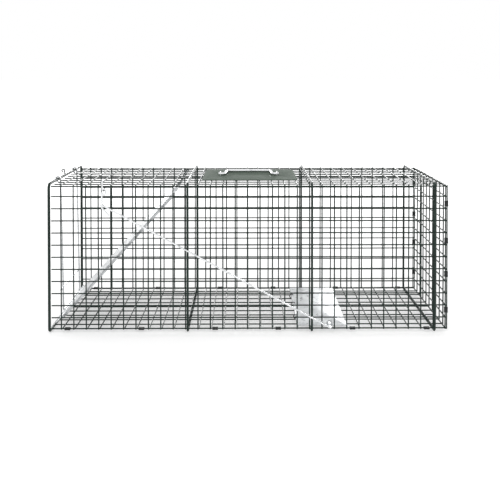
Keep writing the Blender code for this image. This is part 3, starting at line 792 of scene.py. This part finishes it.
def make_trigger_rod(zinc):
    """The straight rod from the lever down to the pan, with a collar turned round the lever's shank."""
    front = joint_point("rod_pivot")
    lowest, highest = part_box("trigger_rod")
    radius = LINK_RADIUS
    loop = 2 * radius + 0.0005  # the collar clears the lever's shank
    collar = arc(front, loop, 150, -90, 22, second=AXIS_Y)
    rod_y = front.y - loop
    rear = Vector((highest.x - radius, rod_y, lowest.z + radius))
    elbow = Vector((front.x + LINK_BEND, rod_y, front.z))
    hook = Vector((rear.x, highest.y, rear.z))
    straight = divided(rounded([collar[-1], elbow, rear, hook], 0.003, steps=8), STEP)
    path = collar[:-1] + straight
    rod_piece("trigger_rod_wire", path, radius, zinc, "link_rod", ("trigger_rod",), sides=14)


def rounded_sheet(x_range, y_range, corner, steps=6):
    """The outline of a flat sheet with rounded corners, as points in XY."""
    (x0, x1), (y0, y1) = x_range, y_range
    corners = [(x0, y0, 0), (x1, y0, 0), (x1, y1, 0), (x0, y1, 0)]
    return rounded(corners, corner, closed=True, steps=steps)


def flat_plate(name, outline, thickness, top_z, holes=()):
    """A plate with softened edges and slots cut through it; each hole is (centre, size)."""
    curve = bpy.data.curves.new(name, "CURVE")
    curve.dimensions = "2D"
    curve.fill_mode = "BOTH"
    curve.extrude = thickness / 2
    loops = [outline]
    for centre, size in holes:
        spans = [(centre[i] - size[i] / 2, centre[i] + size[i] / 2) for i in range(2)]
        loops.append(rounded_sheet(*spans, min(size) * 0.45, steps=4))
    for loop in loops:
        spline = curve.splines.new("POLY")
        spline.points.add(len(loop) - 1)
        for slot, point in zip(spline.points, loop):
            slot.co = (point[0], point[1], 0.0, 1.0)
        spline.use_cyclic_u = True
    flat = bpy.data.objects.new(name, curve)
    bpy.context.scene.collection.objects.link(flat)
    mesh = bpy.data.meshes.new_from_object(flat.evaluated_get(bpy.context.evaluated_depsgraph_get()))
    bpy.data.objects.remove(flat)
    shape = bmesh.new()
    shape.from_mesh(mesh)
    bmesh.ops.remove_doubles(shape, verts=shape.verts, dist=0.00002)
    bmesh.ops.dissolve_limit(shape, angle_limit=0.01, verts=shape.verts, edges=shape.edges)
    bmesh.ops.translate(shape, vec=(0, 0, top_z - thickness / 2), verts=shape.verts)
    shape.to_mesh(mesh)
    shape.free()
    return with_modifiers(mesh, soft_edges(thickness * 0.28, 3, 50))


def make_pan(zinc):
    """The tread plate, with slots for its rings and two tongues rolled round the floor wire."""
    lowest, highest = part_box("trigger_pan")
    thickness = highest.z - lowest.z
    axis = joint_point("pan_tilt")
    holes = []
    for i in range(1, 4):
        ring_low, ring_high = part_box(f"pan_ring_{i}")
        y = (ring_low.y + ring_high.y) / 2
        holes.append(((axis.x + RING_SLOT_OFFSET, y), RING_SLOT))
    outline = rounded_sheet((lowest.x, highest.x), (lowest.y, highest.y), 0.004)
    plate = flat_plate("pan_plate", outline, thickness, highest.z, holes)
    place_mesh("trigger_pan_plate", plate, zinc, "pan", ("trigger_pan",), crease=45)
    lowest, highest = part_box("pan_link_loop")
    radius = PAN_LOOP_RADIUS
    y = (lowest.y + highest.y) / 2
    left, right = lowest.x + radius, highest.x - radius
    legs = [(left, y, lowest.z), (left, y, highest.z - radius)]
    legs += [(right, y, z) for _, _, z in reversed(legs)]
    shape = bmesh.new()
    sweep(shape, rounded(legs, 0.003, steps=8), radius, sides=12)
    for x in (left, right):
        bead(shape, Vector((x, y, lowest.z + radius * 0.4)), radius * 1.6, 0.5, AXIS_Z)
    make_piece("pan_link_staple", shape, zinc, "pan", ("pan_link_loop",))


# ---------------------------------------------------------------- handle


def make_handle(powder, zinc):
    lowest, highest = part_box("handle_guard_plate")
    thickness = highest.z - lowest.z
    pin = joint_point("handle_swing")
    holes = []
    staples = {}
    for side in ("left", "right"):
        box_low, box_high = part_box(f"handle_staple_{side}")
        staples[side] = (box_low, box_high)
        x = (box_low.x + box_high.x) / 2
        for y in (box_low.y + STAPLE_RADIUS, box_high.y - STAPLE_RADIUS):
            holes.append(((x, y), (STAPLE_HOLE, STAPLE_HOLE)))
    outline = rounded_sheet((lowest.x, highest.x), (lowest.y, highest.y), 0.010, steps=8)
    mesh = flat_plate("guard_plate", outline, thickness, highest.z, holes)
    place_mesh("handle_guard", mesh, powder, "cage", ("handle_guard_plate",), crease=45)

    lowest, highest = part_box("carry_handle")
    radius = (highest.z - lowest.z) / 2
    foot, taper = 0.014, 0.003  # level end in each staple, and lean of the arm beside it
    left, right = lowest.x + foot, highest.x - foot
    bar = highest.y - radius
    corners = [(left - foot, pin.y, pin.z), (left, pin.y, pin.z), (left + taper, bar, pin.z)]
    corners += [(right - taper, bar, pin.z), (right, pin.y, pin.z), (right + foot, pin.y, pin.z)]
    path = divided(rounded(corners, 0.007, steps=10), 0.03)
    rod_piece("carry_handle_wire", path, radius, zinc, "handle", ("carry_handle",), sides=20)
    for side, (box_low, box_high) in staples.items():
        wire = STAPLE_RADIUS
        x = (box_low.x + box_high.x) / 2
        near, far = box_low.y + wire, box_high.y - wire
        legs = [(x, near, box_low.z), (x, near, box_high.z - wire)]
        legs += [(x, far, z) for _, _, z in reversed(legs)]
        path = rounded(legs, (far - near) * 0.45, steps=10)
        nodes = (f"handle_staple_{side}",)
        rod_piece(f"handle_staple_wire_{side}", path, wire, zinc, "cage", nodes, sides=12)


# ---------------------------------------------------------------- studio


def make_studio():
    """A pale floor that runs out of sight, a bright even sky and soft lights above and behind."""
    shape = bmesh.new()
    bmesh.ops.create_grid(shape, x_segments=8, y_segments=8, size=60.0)
    bmesh.ops.translate(shape, vec=(0, 0, -0.0004), verts=shape.verts)
    mesh = bpy.data.meshes.new("studio_floor")
    shape.to_mesh(mesh)
    shape.free()
    floor = bpy.data.objects.new("studio_floor", mesh)
    bpy.context.scene.collection.objects.link(floor)
    pale = bpy.data.materials.new("studio_paper")
    pale.use_nodes = True
    shader = pale.node_tree.nodes["Principled BSDF"]
    shader.inputs["Base Color"].default_value = (0.62, 0.62, 0.62, 1.0)
    shader.inputs["Roughness"].default_value = 1.0
    shader.inputs["Specular IOR Level"].default_value = 0.0
    shader.inputs["Emission Color"].default_value = (1.0, 1.0, 1.0, 1.0)
    shader.inputs["Emission Strength"].default_value = 0.46
    mesh.materials.append(pale)
    world = bpy.data.worlds.new("studio")
    world.use_nodes = True
    background = world.node_tree.nodes["Background"]
    background.inputs["Color"].default_value = (1.0, 1.0, 1.0, 1.0)
    background.inputs["Strength"].default_value = 1.0
    bpy.context.scene.world = world
    bpy.context.scene.view_settings.view_transform = "Standard"
    add_light("key", (-0.9, -1.3, 2.1), (0, 0, 0.1), 1.6, 0.9, 4)
    add_light("backlight_left", (-1.15, 2.4, 0.75), (0, 0, 0.25), 1.3, 0.35, 23)
    add_light("backlight_right", (1.15, 2.4, 0.75), (0, 0, 0.25), 1.3, 0.35, 23)


def add_light(name, place, target, width, height, power):
    data = bpy.data.lights.new(name, "AREA")
    data.shape = "RECTANGLE"
    data.size = width
    data.size_y = height
    data.energy = power
    light = bpy.data.objects.new(name, data)
    light.location = place
    light.rotation_euler = (Vector(target) - Vector(place)).to_track_quat("-Z", "Y").to_euler()
    light.visible_camera = False
    bpy.context.scene.collection.objects.link(light)


def make_camera():
    """Almost square on to the near side, just above the trap's middle, with the lens shifted to centre it."""
    data = bpy.data.cameras.new("camera")
    data.lens = 46.38
    data.sensor_width = 36.0
    data.shift_y = -0.328
    camera = bpy.data.objects.new("camera", data)
    camera.location = (-0.0056, -SIDE_Y - 1.3120, FLOOR_Z + 0.5202)
    camera.rotation_euler = (math.radians(89.0), 0.0, math.radians(-0.37))
    bpy.context.scene.collection.objects.link(camera)
    bpy.context.scene.camera = camera


make_camera()
make_studio()
enamel = green_enamel()
sheet_zinc = galvanised_sheet()
# The pan's sheet is the door's zinc made 1.3 times lighter and less metallic: painted light, for the pan lit
# from above.
pan_zinc = galvanised_sheet("pan_sheet_painted_light", metallic=0.3, shade=1.3)
wire_zinc = drawn_zinc_wire()
# The lever, trigger rod, handle and its staples get the same zinc wire made lighter: painted light, for these
# wires lit from above.
painted_light_zinc = drawn_zinc_wire("painted_light_zinc_wire", shade=1.28)
steel = blackened_steel()
make_hoops(enamel)
make_wrap(enamel)
make_floor_panel(enamel)
make_rear_panel(enamel)
make_ties(steel)
make_front_catch(enamel)
make_hinge_rod(wire_zinc, sheet_zinc)
make_door(sheet_zinc)
make_bail(wire_zinc)
make_lever(painted_light_zinc, enamel)
make_trigger_rod(painted_light_zinc)
make_pan(pan_zinc)
make_handle(grey_green_powder(), painted_light_zinc)
